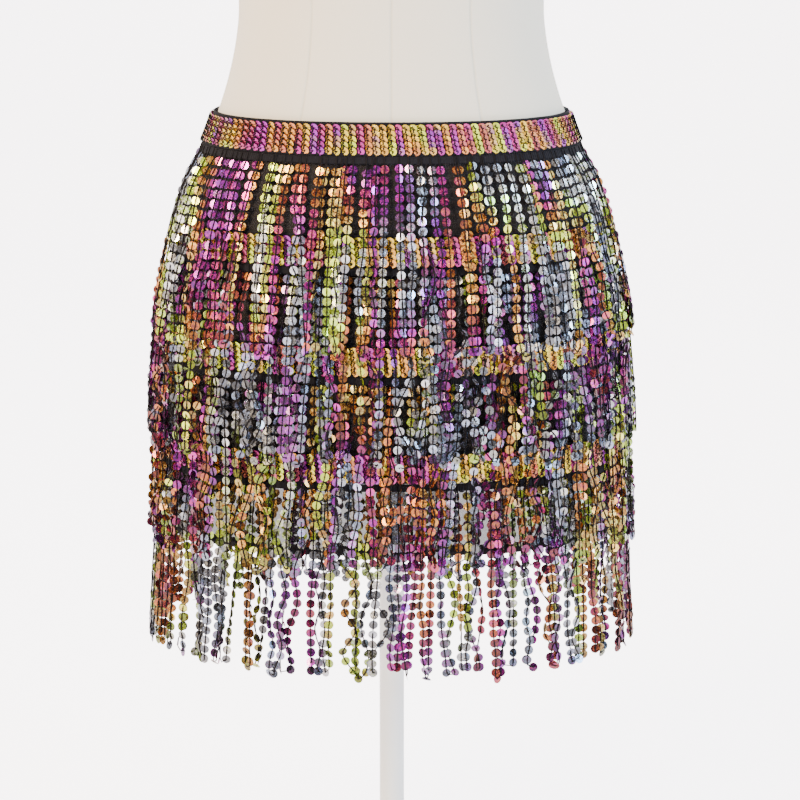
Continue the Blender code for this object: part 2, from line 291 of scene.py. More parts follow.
class Figure:
    """The surface that the cloth follows: snug over the form, straight down below its widest."""

    def __init__(self):
        heights, rings = form_rings()
        self.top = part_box("lining_front")[1].z
        self.form_heights = heights
        self.form_waves = np.fft.fft(rings, axis=1) / rings.shape[1]
        self.orders = np.fft.fftfreq(rings.shape[1], 1 / rings.shape[1])
        below = (heights > heights[-1] + FACETED_FOOT) & (heights < self.top + FORM_ABOVE)
        across = np.maximum.accumulate(np.abs(rings[below].real), axis=0)
        along = np.maximum.accumulate(np.abs(rings[below].imag), axis=0)
        snug = np.sign(rings[below].real) * across + 1j * np.sign(rings[below].imag) * along
        self.heights = heights[below]
        self.waves = np.fft.fft(snug, axis=1) / snug.shape[1]

    def at(self, share, height, out=0.0):
        """Points at shares of the girth and heights, moved out, with their outward normals."""
        share, height, out = np.broadcast_arrays(share, height, out)
        shape = share.shape
        share, height, out = share.ravel(), height.ravel(), out.ravel()
        row = np.interp(-height, -self.heights, np.arange(len(self.heights)))
        terms = between_rows(row, self.waves) * np.exp(2j * np.pi * np.outer(share, self.orders))
        place = terms.sum(axis=1)
        ahead = (terms * 1j * self.orders).sum(axis=1)
        normal = -1j * ahead / np.abs(ahead)
        place = place + out * normal
        points = np.stack([place.real, place.imag, height], axis=1)
        normals = np.stack([normal.real, normal.imag, np.zeros_like(height)], axis=1)
        return points.reshape(*shape, 3), normals.reshape(*shape, 3)

    def girth(self, height, out=0.0):
        loop, _ = self.at(np.linspace(0, 1, GIRTH_STEPS + 1), height, out)
        return float(np.linalg.norm(np.diff(loop, axis=0), axis=1).sum())


# Meshes


def add_object(name, data):
    made = bpy.data.objects.new(name, data)
    bpy.context.scene.collection.objects.link(made)
    return made


def add_mesh(name, points, faces, material=None, uv=None, smooth=True, edges=()):
    mesh = bpy.data.meshes.new(name)
    mesh.from_pydata(np.asarray(points).reshape(-1, 3).tolist(), list(edges), faces)
    if uv is not None:
        layer = mesh.uv_layers.new(name="UVMap")
        corners = np.array([loop.vertex_index for loop in mesh.loops])
        layer.data.foreach_set("uv", uv.reshape(-1, 2)[corners].astype(np.float32).ravel())
    if smooth:
        mesh.shade_smooth()
    if material is not None:
        mesh.materials.append(material)
    return add_object(name, mesh)


def grid_faces(rows, columns, closed):
    """Faces of a grid of points in rows from the top down, counter-clockwise round the figure."""
    steps = columns if closed else columns - 1
    faces = []
    for row in range(rows - 1):
        for column in range(steps):
            right = (column + 1) % columns
            a, b = row * columns + column, row * columns + right
            faces.append((a, a + columns, b + columns, b))
    return faces


def add_band(name, figure, shares, heights, outs, material, wall, closed=True):
    """A thin wall of cloth through rows of points, with a height and a distance out for each."""
    points, _ = figure.at(shares[None, :], heights[:, None], outs)
    run = np.concatenate([[0.0], np.cumsum(np.linalg.norm(np.diff(points[-1], axis=0), axis=1))])
    uv = np.stack(np.broadcast_arrays(run[None, :], heights[:, None]), axis=-1)
    faces = grid_faces(len(heights), len(shares), closed)
    made = add_mesh(name, points, faces, material, uv)
    solidify = made.modifiers.new("wall", "SOLIDIFY")
    solidify.thickness = wall
    solidify.offset = 1.0
    return baked(made)


def baked(made):
    """The object as a plain mesh of its evaluated self, with no modifiers."""
    bpy.context.view_layer.update()
    depsgraph = bpy.context.evaluated_depsgraph_get()
    mesh = bpy.data.meshes.new_from_object(
        made.evaluated_get(depsgraph), preserve_all_data_layers=True, depsgraph=depsgraph
    )
    name = made.name
    bpy.data.objects.remove(made)
    mesh.name = name
    return add_object(name, mesh)


def finish_piece(made, replaces=()):
    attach(made, BODY)
    if replaces:
        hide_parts(*replaces)


# Nodes


def plug(tree, value, socket):
    """Links the socket to another node's, or sets it to a value."""
    if isinstance(value, bpy.types.NodeSocket):
        tree.links.new(value, socket)
    else:
        socket.default_value = value


def add_node(tree, kind, inputs=None, **settings):
    """A node with its settings, and with inputs that are values or other nodes' sockets."""
    node = tree.nodes.new(kind)
    for key, value in settings.items():
        setattr(node, key, value)
    for key, value in (inputs or {}).items():
        plug(tree, value, node.inputs[key])
    return node


# Geometry Nodes


def new_tree(name, inputs):
    """A Geometry Nodes tree with a Geometry input and output and the named inputs."""
    tree = bpy.data.node_groups.new(name, "GeometryNodeTree")
    tree.interface.new_socket("Geometry", in_out="INPUT", socket_type="NodeSocketGeometry")
    for label, kind in inputs.items():
        tree.interface.new_socket(label, in_out="INPUT", socket_type=kind)
    tree.interface.new_socket("Geometry", in_out="OUTPUT", socket_type="NodeSocketGeometry")
    return tree, tree.nodes.new("NodeGroupInput").outputs


def end_tree(tree, geometry, material):
    """Ends a tree in plain geometry with a material."""
    plain = add_node(tree, "GeometryNodeRealizeInstances", {"Geometry": geometry})
    paint = add_node(
        tree,
        "GeometryNodeSetMaterial",
        {"Geometry": plain.outputs["Geometry"], "Material": material},
    )
    add_node(tree, "NodeGroupOutput", {"Geometry": paint.outputs["Geometry"]})
    return tree


def named_attribute(tree, name, kind):
    node = add_node(tree, "GeometryNodeInputNamedAttribute", {"Name": name}, data_type=kind)
    return node.outputs["Attribute"]


def sequin_tree():
    """Sets a sequin on each point, turned by its facing and along attributes."""
    tree, given = new_tree(
        "Sequins on points", {"Sequin": "NodeSocketObject", "Material": "NodeSocketMaterial"}
    )
    shape = add_node(tree, "GeometryNodeObjectInfo", {"Object": given["Sequin"]})
    turn = add_node(
        tree,
        "FunctionNodeAxesToRotation",
        {
            "Primary Axis": named_attribute(tree, "facing", "FLOAT_VECTOR"),
            "Secondary Axis": named_attribute(tree, "along", "FLOAT_VECTOR"),
        },
        primary_axis="Z",
        secondary_axis="Y",
    )
    place = add_node(
        tree,
        "GeometryNodeInstanceOnPoints",
        {
            "Points": given["Geometry"],
            "Instance": shape.outputs["Geometry"],
            "Rotation": turn.outputs["Rotation"],
            "Scale": named_attribute(tree, "size", "FLOAT"),
        },
    )
    return end_tree(tree, place.outputs["Instances"], given["Material"])


def thread_tree():
    """Turns lines of edges into round threads."""
    tree, given = new_tree(
        "Threads on lines",
        {
            "Radius": "NodeSocketFloat",
            "Sides": "NodeSocketInt",
            "Material": "NodeSocketMaterial",
        },
    )
    lines = add_node(tree, "GeometryNodeMeshToCurve", {"Mesh": given["Geometry"]})
    section = add_node(
        tree,
        "GeometryNodeCurvePrimitiveCircle",
        {"Resolution": given["Sides"], "Radius": given["Radius"]},
    )
    tubes = add_node(
        tree,
        "GeometryNodeCurveToMesh",
        {"Curve": lines.outputs["Curve"], "Profile Curve": section.outputs["Curve"]},
    )
    return end_tree(tree, tubes.outputs["Mesh"], given["Material"])


def get_tree(name, make):
    return bpy.data.node_groups.get(name) or make()


def run_tree(made, tree, values):
    """Puts the tree on the object with its inputs set, and returns the plain result."""
    modifier = made.modifiers.new("nodes", "NODES")
    modifier.node_group = tree
    for item in tree.interface.items_tree:
        if item.in_out == "INPUT" and item.name in values:
            modifier[item.identifier] = values[item.name]
    return baked(made)


def sequin_shape(radius, fold, sides):
    """One flat sequin, folded a little along its thread into two flat halves."""
    turns = math.pi / 2 + np.arange(sides) * 2 * math.pi / sides
    flat = np.stack([np.cos(turns), np.sin(turns)], axis=1)
    points = np.column_stack([flat * radius, -np.abs(flat[:, 0]) * radius * math.tan(fold)])
    half = sides // 2
    faces = [tuple(range(half + 1)), (*range(half, sides), 0)]
    made = add_mesh("sequin_shape", points, faces, uv=flat, smooth=False)
    made.hide_render = True
    return made


def add_sequins(name, places, material, sequin):
    """Sequins at places, a dict of points and the attributes that the tree and the foil read."""
    made = add_mesh(name, places["points"], [], smooth=False)
    for key in ("facing", "along"):
        layer = made.data.attributes.new(key, "FLOAT_VECTOR", "POINT")
        layer.data.foreach_set("vector", places[key].astype(np.float32).ravel())
    for key in ("size", "phase", "shine", "shade"):
        layer = made.data.attributes.new(key, "FLOAT", "POINT")
        layer.data.foreach_set("value", places[key].astype(np.float32))
    tree = get_tree("Sequins on points", sequin_tree)
    return run_tree(made, tree, {"Sequin": sequin, "Material": material})


def add_threads(name, lines, radius, sides, material):
    """Threads along lines, each a list of points."""
    edges, start = [], 0
    for line in lines:
        edges.extend((start + i, start + i + 1) for i in range(len(line) - 1))
        start += len(line)
    made = add_mesh(name, np.concatenate(lines), [], smooth=False, edges=edges)
    tree = get_tree("Threads on lines", thread_tree)
    made = run_tree(made, tree, {"Radius": radius, "Sides": sides, "Material": material})
    made.data.shade_smooth()
    return made


# Materials


def start_material(name, base=None, **inputs):
    """A new material and its tree and Principled node, with some of its inputs set."""
    made = bpy.data.materials.new(name)
    made.use_nodes = True
    shader = made.node_tree.nodes["Principled BSDF"]
    for key, value in inputs.items():
        shader.inputs[key.replace("_", " ")].default_value = value
    if base is not None:
        shader.inputs["Base Color"].default_value = linear(base)
        made.diffuse_color = linear(base)
    return made, made.node_tree, shader


def shader_math(tree, operation, first, second=0.5, third=0.5):
    """A Math node on sockets or numbers."""
    node = add_node(tree, "ShaderNodeMath", operation=operation)
    for socket, value in zip(node.inputs, (first, second, third)):
        plug(tree, value, socket)
    return node.outputs[0]


def mix_colours(tree, first, second, factor=1.0, blend="MIX"):
    node = add_node(
        tree,
        "ShaderNodeMix",
        {"Factor": factor, "A": first, "B": second},
        data_type="RGBA",
        blend_type=blend,
    )
    return node.outputs["Result"]


def attribute(tree, name):
    return add_node(tree, "ShaderNodeAttribute", attribute_name=name).outputs["Fac"]


def own_uv(tree):
    return add_node(tree, "ShaderNodeUVMap", uv_map="UVMap").outputs["UV"]


def split_vector(tree, vector):
    return add_node(tree, "ShaderNodeSeparateXYZ", {"Vector": vector}).outputs


def map_range(tree, value, low, high, **settings):
    inputs = {"Value": value, "From Min": low, "From Max": high}
    return add_node(tree, "ShaderNodeMapRange", inputs, **settings).outputs["Result"]


def ramp(tree, factor, stops):
    """A colour ramp with stops of (place, shown colour)."""
    node = add_node(tree, "ShaderNodeValToRGB", {"Fac": factor})
    elements = node.color_ramp.elements
    while len(elements) < len(stops):
        elements.new(0.5)
    for element, (place, colour) in zip(elements, stops):
        element.position = place
        element.color = linear(colour)
    return node.outputs["Color"]


def object_noise(tree, scale, detail=2.0):
    """Noise in object coordinates, as a value from 0 to 1."""
    where = tree.nodes.new("ShaderNodeTexCoord").outputs["Object"]
    inputs = {"Vector": where, "Scale": scale, "Detail": detail}
    return add_node(tree, "ShaderNodeTexNoise", inputs).outputs["Fac"]


def add_bump(tree, shader, height, distance, strength=1.0):
    inputs = {"Height": height, "Distance": distance, "Strength": strength}
    bump = add_node(tree, "ShaderNodeBump", inputs)
    plug(tree, bump.outputs["Normal"], shader.inputs["Normal"])


def seen_colour(tree, lighting, seen):
    """A colour that lights the object in one way and is seen by the camera in another."""
    camera = tree.nodes.new("ShaderNodeLightPath").outputs["Is Camera Ray"]
    return mix_colours(tree, lighting, seen, camera)


def foil_cells():
    """Fine cells of foil: a value for each cell."""
    group = bpy.data.node_groups.new("Foil cells", "ShaderNodeTree")
    group.interface.new_socket("Cell size", in_out="INPUT", socket_type="NodeSocketFloat")
    group.interface.new_socket("Cell", in_out="OUTPUT", socket_type="NodeSocketFloat")
    given = group.nodes.new("NodeGroupInput").outputs
    where = group.nodes.new("ShaderNodeTexCoord").outputs["Object"]
    scale = shader_math(group, "DIVIDE", 1.0, given["Cell size"])
    cells = add_node(group, "ShaderNodeTexVoronoi", {"Vector": where, "Scale": scale})
    split = add_node(group, "ShaderNodeSeparateColor", {"Color": cells.outputs["Color"]})
    add_node(group, "NodeGroupOutput", {"Cell": split.outputs["Red"]})
    return group


def foil_material(name, colours, glitter, painted_sparkle):
    """Iridescent foil: the colour turns with phase, angle and fine cells, with painted glints,
    highlights and shade.
    """
    made, tree, shader = start_material(
        name, Roughness=0.24, Metallic=0.8, Coat_Weight=0.4, Coat_Roughness=0.12
    )
    cells = add_node(tree, "ShaderNodeGroup", node_tree=get_tree("Foil cells", foil_cells))
    cells.inputs["Cell size"].default_value = FOIL_CELL
    cell = cells.outputs["Cell"]
    angle = add_node(tree, "ShaderNodeLayerWeight", {"Blend": FOIL_BLEND}).outputs["Facing"]
    phase = shader_math(tree, "MULTIPLY_ADD", angle, FOIL_TURN, attribute(tree, "phase"))
    phase = shader_math(tree, "MULTIPLY_ADD", cell, glitter, phase)
    phase = shader_math(tree, "FRACT", phase)
    stops = [(i / len(colours), FOIL[colour]) for i, colour in enumerate(colours)]
    colour = ramp(tree, phase, [*stops, (1.0, FOIL[colours[0]])])
    # Painted light in the base colour: painted highlights on some sequins, painted glints in the
    # cells, and the painted light and shade of the shade attribute
    dull = FOIL_LIGHT - painted_sparkle / 2
    light = shader_math(tree, "MULTIPLY_ADD", attribute(tree, "shine"), SHINE_LIGHT, dull)
    light = shader_math(tree, "MULTIPLY_ADD", cell, painted_sparkle, light)
    light = shader_math(tree, "MULTIPLY", light, attribute(tree, "shade"))
    reach = add_node(tree, "ShaderNodeVectorMath", {0: own_uv(tree)}, operation="LENGTH")
    hole = map_range(tree, reach.outputs["Value"], *HOLE)
    light = shader_math(tree, "MULTIPLY", light, hole)
    plug(tree, mix_colours(tree, colour, light, blend="MULTIPLY"), shader.inputs["Base Color"])
    rough = shader_math(tree, "MULTIPLY_ADD", cell, CELL_ROUGH, FOIL_ROUGH)
    plug(tree, rough, shader.inputs["Roughness"])
    add_bump(tree, shader, cell, 0.00006)
    return made


def thread_material(name):
    made, tree, shader = start_material(name, THREAD_BLACK, Roughness=0.75, Specular_IOR_Level=0.1)
    add_bump(tree, shader, object_noise(tree, 3000.0), 0.0001)
    return made


def knit_material(name, base, openness=0.0, hem_top=None):
    """Fine stretch knit, which lets no light through in the hem, below hem_top."""
    made, tree, shader = start_material(
        name, base, Roughness=0.85, Sheen_Weight=0.03, Specular_IOR_Level=0.12
    )
    where = own_uv(tree)
    inputs = {"Vector": where, "Scale": 180.0, "Distortion": 1.5, "Detail": 2.0}
    wales = add_node(tree, "ShaderNodeTexWave", inputs)
    add_bump(tree, shader, wales.outputs["Fac"], 0.0002)
    if hem_top is not None:
        above = shader_math(tree, "GREATER_THAN", split_vector(tree, where)["Y"], hem_top)
        alpha = shader_math(tree, "MULTIPLY_ADD", above, -openness, 1.0)
        plug(tree, alpha, shader.inputs["Alpha"])
    return made


def cover_material(name):
    """Cream linen: a fine weave, with sunk seams at the cover's seam lines."""
    made, tree, shader = start_material(name, LINEN, Roughness=0.85, Sheen_Weight=0.15)
    round_share = split_vector(tree, own_uv(tree))["X"]
    seam = None
    for share in COVER_SEAMS:
        away = shader_math(tree, "SUBTRACT", round_share, share)
        away = shader_math(tree, "ABSOLUTE", away)
        seam = away if seam is None else shader_math(tree, "MINIMUM", seam, away)
    sunk = map_range(tree, seam, 0.0, SEAM_WIDTH, interpolation_type="SMOOTHSTEP")
    weave = object_noise(tree, 1500.0, 3.0)
    height = shader_math(tree, "MULTIPLY_ADD", weave, WEAVE_HEIGHT, sunk)
    add_bump(tree, shader, height, 0.0006, 0.7)
    shade = shader_math(tree, "MULTIPLY_ADD", sunk, SEAM_SHADE, 1 - SEAM_SHADE)
    shade = shader_math(tree, "MULTIPLY_ADD", weave, WEAVE_SHADE, shade)
    tint = mix_colours(tree, linear(LINEN), shade, blend="MULTIPLY")
    plug(tree, tint, shader.inputs["Base Color"])
    return made


def enamel_material(name):
    made, tree, shader = start_material(
        name, ENAMEL, Roughness=0.28, Coat_Weight=0.5, Coat_Roughness=0.08
    )
    add_bump(tree, shader, object_noise(tree, 60.0), 0.00004)
    return made


def get_material(name, make, *args):
    return bpy.data.materials.get(name) or make(name, *args)


def strand_foil():
    look = (STRAND_COLOURS, STRAND_GLITTER, STRAND_PAINTED_SPARKLE)
    return get_material("sequin_foil", foil_material, *look)


def rib_foil():
    return get_material("rib_foil", foil_material, RIB_COLOURS, RIB_GLITTER, RIB_PAINTED_SPARKLE)


def black_thread():
    return get_material("black_thread", thread_material)


def tape_knit():
    return get_material("tape_knit", knit_material, TAPE_BLACK)


def lining_knit():
    hem_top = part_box("lining_front")[0].z + HEM_DEPTH
    return get_material("open_knit", knit_material, LINING_BLACK, OPENNESS, hem_top)


# Settings


def length(name, text, default):
    return bpy.props.FloatProperty(name=name, description=text, default=default, unit="LENGTH")


def angle(name, text, degrees):
    turn = math.radians(degrees)
    return bpy.props.FloatProperty(name=name, description=text, default=turn, subtype="ANGLE")


def whole(name, text, default, **limits):
    return bpy.props.IntProperty(name=name, description=text, default=default, **limits)


class SequinSettings(bpy.types.PropertyGroup):
    radius: length("Radius", "Half a sequin's width", 0.003)
    fold: angle("Fold", "How far each half bends back from the thread", 5)
    sides: whole("Sides", "Points round a sequin's rim", 14, min=6, max=24)
    pitch: length("Pitch", "From one sequin to the next on a strand", 0.00675)


class FringeSettings(bpy.types.PropertyGroup):
    spacing: length("Spacing", "From one strand to the next at the root", 0.0058)
    jitter: length("Jitter", "Unevenness of that spacing", 0.0018)
    bunching: length("Bunching", "How far strands drift together at their ends", 0.0030)
    wander: length("Wander", "Sideways waves of a strand at its end", 0.0014)
    layering: length("Layering", "How far strands lie over each other", 0.0024)
    twist: angle("Twist", "How far sequins turn about their thread", 62)
    thread: length("Thread", "Radius of the chain-stitched thread", 0.00050)
    seed: whole("Seed", "Changes every strand", 14)


class HeaderSettings(bpy.types.PropertyGroup):
    stack: length("Stack pitch", "From one stacked sequin to the next", 0.0036)
    lean: angle("Lean", "How far a rib of stacked sequins leans sideways", 6)
    tilt: angle("Tilt", "How steeply the stacked sequins stand out", 9)
    stitch: length("Stitch", "Radius of the thread that holds a rib", 0.00058)
    seed: whole("Seed", "Changes the ribs' colours", 5)


class LiningSettings(bpy.types.PropertyGroup):
    columns: whole("Columns", "Points round half of the lining", 180, min=28)
    creases: length("Creases", "Depth of the soft creases", 0.0003)


class StageSettings(bpy.types.PropertyGroup):
    distance: length("Distance", "From the camera to the skirt's axis", 1.9)
    rise: length("Rise", "Camera height over the skirt's top edge", 0.185)
    side: length("Side", "Camera's place to the right of the axis", 0.006)
    pitch: angle("Pitch", "How far the camera looks down", 11.7)
    lens: bpy.props.FloatProperty(
        name="Lens", description="Focal length in mm on a 36 mm sensor", default=121.7
    )


# The figure's parts


class SKIRT_OT_form(bpy.types.Operator):
    """Adds the hip form's linen cover"""

    bl_idname = "hip_skirt.form"
    bl_label = "Add hip form"

    def execute(self, context):
        figure = Figure()
        position = np.arange((len(figure.form_heights) - 1) * FORM_FINE + 1) / FORM_FINE
        heights = between_rows(position, figure.form_heights)
        waves = between_rows(position, figure.form_waves)
        shares = np.arange(FORM_COLUMNS + 1) / FORM_COLUMNS
        flat = waves @ np.exp(2j * np.pi * np.outer(figure.orders, shares))
        levels = np.broadcast_to(heights[:, None], flat.shape)
        points = np.stack([flat.real, flat.imag, levels], axis=-1).reshape(-1, 3)
        uv = np.stack(np.broadcast_arrays(shares[None, :], levels), axis=-1).reshape(-1, 2)
        faces = grid_faces(len(heights), len(shares), closed=False)
        low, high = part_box("hip_form")
        last = len(points) - len(shares)
        for i in range(len(shares) - 1):
            faces.append((i, i + 1, len(points)))
            faces.append((last + i + 1, last + i, len(points) + 1))
        points = np.concatenate([points, [[0, 0, high.z], [0, 0, low.z]]])
        uv = np.concatenate([uv, [[CAP_MIDDLE, high.z], [CAP_MIDDLE, low.z]]])
        made = add_mesh("form_cover", points, faces, get_material("form_linen", cover_material), uv)
        weld = made.modifiers.new("seam", "WELD")
        weld.merge_threshold = MERGE
        made = baked(made)
        finish_piece(made, ["hip_form"])
        return {"FINISHED"}


class SKIRT_OT_stand(bpy.types.Operator):
    """Adds the finely turned pole and base"""

    bl_idname = "hip_skirt.stand"
    bl_label = "Add stand"

    def execute(self, context):
        for node in ("stand_pole", "stand_base"):
            points = np.array([v.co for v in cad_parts[node].data.vertices])
            radii = np.round(np.hypot(points[:, 0], points[:, 1]), 5)
            levels = np.round(points[:, 2], 5)
            corners = set(zip(radii[radii > 0], levels[radii > 0]))
            corners = sorted(corners, key=lambda corner: (-corner[1], corner[0]))
            order = corners if node == "stand_base" else self.down_the_pole(corners)
            profile = [(0.0, order[0][1]), *order, (0.0, order[-1][1])]
            made = self.turned(node + "_turned", profile)
            finish_piece(made, [node])
        return {"FINISHED"}

    @staticmethod
    def down_the_pole(corners):
        """The pole's corners from the top down, along the outline."""
        levels = sorted({level for _, level in corners}, reverse=True)
        outline = []
        for level in levels:
            here = sorted(radius for radius, at in corners if at == level)
            wide_first = bool(outline) and outline[-1][0] > here[0]
            outline += [(radius, level) for radius in (reversed(here) if wide_first else here)]
        return outline

    @staticmethod
    def turned(name, profile):
        """A profile of (radius, height) turned round the upright axis, with its edges eased."""
        points = [(radius, 0.0, height) for radius, height in profile]
        edges = [(i, i + 1) for i in range(len(points) - 1)]
        enamel = get_material("white_enamel", enamel_material)
        made = add_mesh(name, points, [], enamel, smooth=False, edges=edges)
        screw = made.modifiers.new("turn", "SCREW")
        screw.steps = screw.render_steps = POLE_STEPS
        screw.use_merge_vertices = True
        screw.merge_threshold = MERGE
        bevel = made.modifiers.new("edge", "BEVEL")
        bevel.width = POLE_EDGE
        bevel.segments = 3
        bevel.limit_method = "ANGLE"
        bevel.angle_limit = math.radians(35)
        made = baked(made)
        made.data.shade_smooth()
        made.data.set_sharp_from_angle(angle=math.radians(50))
        return made


# The skirt


class SKIRT_OT_lining(bpy.types.Operator):
    """Adds the lining's front and back panels"""

    bl_idname = "hip_skirt.lining"
    bl_label = "Add lining"

    def execute(self, context):
        settings = context.scene.skirt_lining
        figure = Figure()
        rng = np.random.default_rng(LINING_SEED)
        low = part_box("lining_front")[0].z
        form_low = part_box("hip_form")[0].z
        heights = np.linspace(figure.top, low, LINING_ROWS)
        loose = np.clip((form_low - heights) / (form_low - low), 0, 1)[:, None]
        hem = HEM_OUT * (heights < low + HEM_DEPTH)[:, None]
        width = 0.5 * figure.girth(low, LINING_OFF)
        for name, first in (("lining_back", 0.0), ("lining_front", 0.5)):
            shares = first + np.linspace(*PANEL, settings.columns)
            wave = HEM_WAVE_DEPTH * loose * np.sin(2 * np.pi * HEM_WAVES * shares)[None, :]
            crease = drift(rng, *np.meshgrid(shares, heights), *CREASE_RUN) * settings.creases
            outs = LINING_OFF + wave + crease + hem
            cloth = (lining_knit(), LINING_WALL)
            made = add_band(name + "_knit", figure, shares, heights, outs, *cloth, closed=False)
            finish_piece(made, [name])
            self.half_area(figure, heights)
        return {"FINISHED"}

    @staticmethod
    def half_area(figure, heights):
        """The area of half of the tube, the mean of its two halves."""
        shares = np.linspace(0, 1, GIRTH_STEPS + 1)
        loops, _ = figure.at(shares[None, :], heights[:, None], LINING_OFF)
        around = np.linalg.norm(np.diff(loops, axis=1), axis=2)
        down = np.linalg.norm(np.diff(loops, axis=0), axis=2)
        cells = 0.5 * (around[:-1] + around[1:]) * 0.5 * (down[:, :-1] + down[:, 1:])
        return float(cells.sum() / 2)


def strand_count(figure, tier, spacing):
    strip_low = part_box(f"fringe_{tier}")[1].z - ROOT_STRIP
    return 2 * round(figure.girth(strip_low, STRAND_OFF) / spacing / 2)


class SKIRT_OT_headers(bpy.types.Operator):
    """Adds the header tapes with their ribs of stacked sequins"""

    bl_idname = "hip_skirt.headers"
    bl_label = "Add headers"

    def execute(self, context):
        figure = Figure()
        for tier in TIERS:
            self.add_tape(figure, tier)
            self.add_ribs(context, figure, tier)
        return {"FINISHED"}

    def add_tape(self, figure, tier):
        """The black tape, with a thicker edge above and below the ribs."""
        low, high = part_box(f"header_{tier}")
        shares = np.arange(TAPE_COLUMNS) / TAPE_COLUMNS
        heights = np.linspace(high.z, low.z, TAPE_ROWS)
        edge = np.minimum(high.z - heights, heights - low.z)
        outs = TAPE_OFF + TAPE_EDGE_OUT * (1 - ease(edge / TAPE_EDGE_REACH))
        cloth = (tape_knit(), TAPE_WALL)
        made = add_band(f"tape_{tier}", figure, shares, heights, outs[:, None], *cloth)
        finish_piece(made, [f"header_{tier}"])
        flat = (figure.girth(low.z, TAPE_OFF), high.z - low.z)

    def add_ribs(self, context, figure, tier):
        header, sequins = context.scene.skirt_header, context.scene.skirt_sequin
        rng = np.random.default_rng(header.seed + tier)
        low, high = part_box(f"header_{tier}")
        top, bottom = high.z - TAPE_EDGE - sequins.radius, low.z + sequins.radius
        ribs = strand_count(figure, tier, context.scene.skirt_fringe.spacing)
        girth = figure.girth(0.5 * (top + bottom), RIB_OFF)
        steps = round((top - bottom) / header.stack) + 1
        rib, step = np.meshgrid(np.arange(ribs), np.arange(steps), indexing="ij")
        down = step * (top - bottom) / (steps - 1)
        lean = math.tan(header.lean) * (down - 0.5 * (top - bottom)) / girth
        share = (rib + 0.5) / ribs + lean + rng.normal(0, RIB_STRAY, rib.shape) / girth
        points, normals = figure.at(share, top - down, RIB_OFF)
        tilt = header.tilt + rng.normal(0, RIB_TURN, rib.shape)
        to_front = np.clip(1 + normals[..., 0], 0, 1)
        yaw = RIB_FOLD * to_front + rng.normal(0, RIB_TURN, rib.shape)
        up = np.array([0.0, 0.0, 1.0])
        side = np.cross(up, normals)
        facing = unit(
            np.cos(tilt)[..., None] * normals
            - np.sin(tilt)[..., None] * up
            - np.tan(yaw)[..., None] * side
        )
        places = {
            "points": points.reshape(-1, 3),
            "facing": facing.reshape(-1, 3),
            "along": np.broadcast_to(up, facing.shape).reshape(-1, 3),
            "size": np.ones(rib.size),
            "phase": self.rib_phase(rng, rib, down / (top - bottom)).ravel(),
            # Painted highlights on the ribs' sequins, at random
            "shine": RIB_SHINE + RIB_SHINE * rng.random(rib.size),
            "shade": np.full(rib.size, RIB_SHADE),
        }
        sequin = sequin_shape(sequins.radius, RIB_FOLD, sequins.sides)
        made = add_sequins(f"ribs_{tier}", places, rib_foil(), sequin)
        bpy.data.objects.remove(sequin)
        finish_piece(made)
        self.add_stitches(figure, tier, ribs, top, bottom, steps, girth, header)

    @staticmethod
    def rib_phase(rng, rib, reach):
        """Colour phases: one for each rib, which drifts a little down the rib."""
        start = RIB_COLOURS_OVER * drift(rng, rib.astype(float), 0.0 * rib, 1.0, 1.0)
        slope = rng.normal(0, RIB_SLOPE, rib.shape[0])[:, None]
        return start + slope * reach + rng.normal(0, RIB_COLOUR_NOISE, rib.shape)

    @staticmethod
    def add_stitches(figure, tier, ribs, top, bottom, steps, girth, header):
        """A black thread down each rib, with a stitch at each sequin's hole."""
        corners = len(STITCH_ACROSS)
        index = np.arange(corners * steps)
        down = (index - STITCH_LEAD * corners) * (top - bottom) / (steps - 1) / corners
        across = np.array(STITCH_ACROSS)[index % corners] / girth
        lean = math.tan(header.lean) * (down - 0.5 * (top - bottom)) / girth
        out = RIB_OFF + STITCH_OUT
        lines = [
            figure.at((rib + 0.5) / ribs + lean + across, top - down, out)[0]
            for rib in range(ribs)
        ]
        thread = (header.stitch, STITCH_SIDES, black_thread())
        made = add_threads(f"rib_stitches_{tier}", lines, *thread)
        finish_piece(made)


